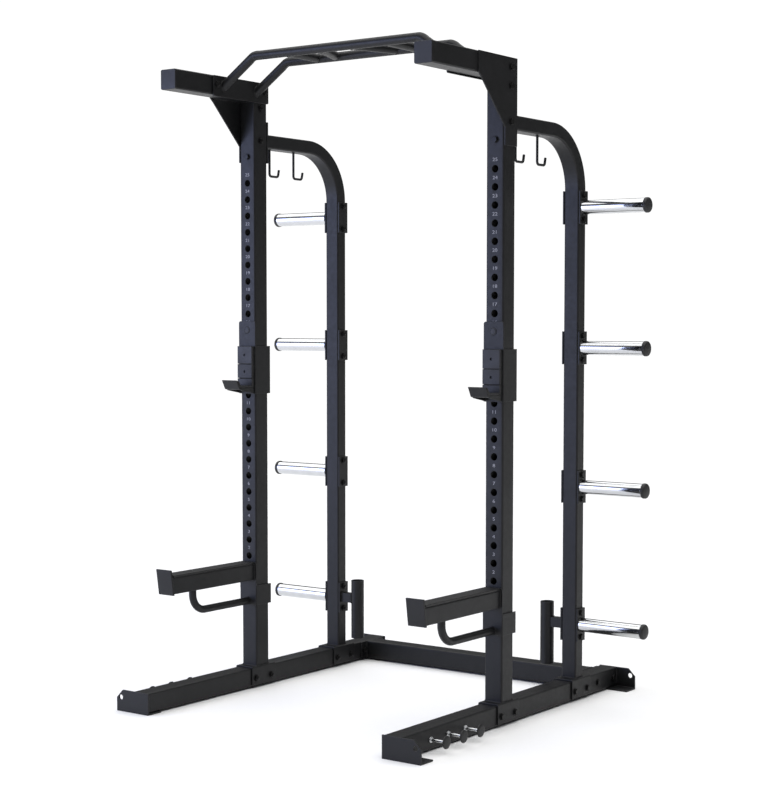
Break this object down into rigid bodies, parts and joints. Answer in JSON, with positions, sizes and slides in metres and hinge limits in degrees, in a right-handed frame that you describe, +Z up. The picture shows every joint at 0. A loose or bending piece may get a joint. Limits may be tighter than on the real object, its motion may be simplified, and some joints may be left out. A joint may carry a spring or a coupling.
{
  "type": "half rack",
  "caption": "Free-standing half rack with perforated front uprights, bent rear uprights with plate storage, a pull-up bar, sliding bar cups and safety arms.",
  "frame": {"origin": "centre of the footprint on the floor", "axes": "+X towards the right-hand upright seen from the front, -Y towards the front where the safety arms point, +Z up"},
  "size_m": [1.6932, 1.37, 2.316],
  "materials": {
    "powder_coat": "satin powder coat, near black",
    "chrome": "polished chrome plating",
    "zinc": "bright zinc plating",
    "liner_plastic": "matt moulded plastic"
  },
  "bodies": {
    "frame": {"base_beam_left": "powder_coat", "foot_front_left": "powder_coat", "foot_rear_left": "powder_coat", "front_saddle_left": "powder_coat", "rear_saddle_left": "powder_coat", "front_upright_left": "powder_coat", "rear_upright_left": "powder_coat", "top_arm_left": "powder_coat", "gusset_left": "powder_coat", "bar_plate_left": "powder_coat", "peg_plate_left_1": "powder_coat", "plate_peg_left_1": "chrome", "peg_plate_left_2": "powder_coat", "plate_peg_left_2": "chrome", "peg_plate_left_3": "powder_coat", "plate_peg_left_3": "chrome", "peg_plate_left_4": "powder_coat", "plate_peg_left_4": "chrome", "bar_holder_left": "powder_coat", "band_peg_left_1": "zinc", "band_peg_left_2": "zinc", "band_peg_left_3": "zinc", "hook_left_1": "powder_coat", "hook_left_2": "powder_coat", "base_beam_right": "powder_coat", "foot_front_right": "powder_coat", "foot_rear_right": "powder_coat", "front_saddle_right": "powder_coat", "rear_saddle_right": "powder_coat", "front_upright_right": "powder_coat", "rear_upright_right": "powder_coat", "top_arm_right": "powder_coat", "gusset_right": "powder_coat", "bar_plate_right": "powder_coat", "peg_plate_right_1": "powder_coat", "plate_peg_right_1": "chrome", "peg_plate_right_2": "powder_coat", "plate_peg_right_2": "chrome", "peg_plate_right_3": "powder_coat", "plate_peg_right_3": "chrome", "peg_plate_right_4": "powder_coat", "plate_peg_right_4": "chrome", "bar_holder_right": "powder_coat", "band_peg_right_1": "zinc", "band_peg_right_2": "zinc", "band_peg_right_3": "zinc", "hook_right_1": "powder_coat", "hook_right_2": "powder_coat", "rear_crossbar": "powder_coat", "pull_up_bar": "powder_coat"},
    "bar_cup_left": {"bar_cup_left": "powder_coat", "cup_pad_left": "liner_plastic"},
    "bar_cup_right": {"bar_cup_right": "powder_coat", "cup_pad_right": "liner_plastic"},
    "safety_arm_left": {"safety_arm_left": "powder_coat", "safety_pad_left": "liner_plastic"},
    "safety_arm_right": {"safety_arm_right": "powder_coat", "safety_pad_right": "liner_plastic"}
  },
  "joints": [
    {"name": "bar_cup_left_height", "type": "slide", "parent": "frame", "child": "bar_cup_left", "axis": [0, 0, 1], "range_m": [-0.18, 0.54]},
    {"name": "safety_arm_left_height", "type": "slide", "parent": "frame", "child": "safety_arm_left", "axis": [0, 0, 1], "range_m": [0, 0.36]},
    {"name": "bar_cup_right_height", "type": "slide", "parent": "frame", "child": "bar_cup_right", "axis": [0, 0, 1], "range_m": [-0.18, 0.54]},
    {"name": "safety_arm_right_height", "type": "slide", "parent": "frame", "child": "safety_arm_right", "axis": [0, 0, 1], "range_m": [0, 0.36]}
  ]
}
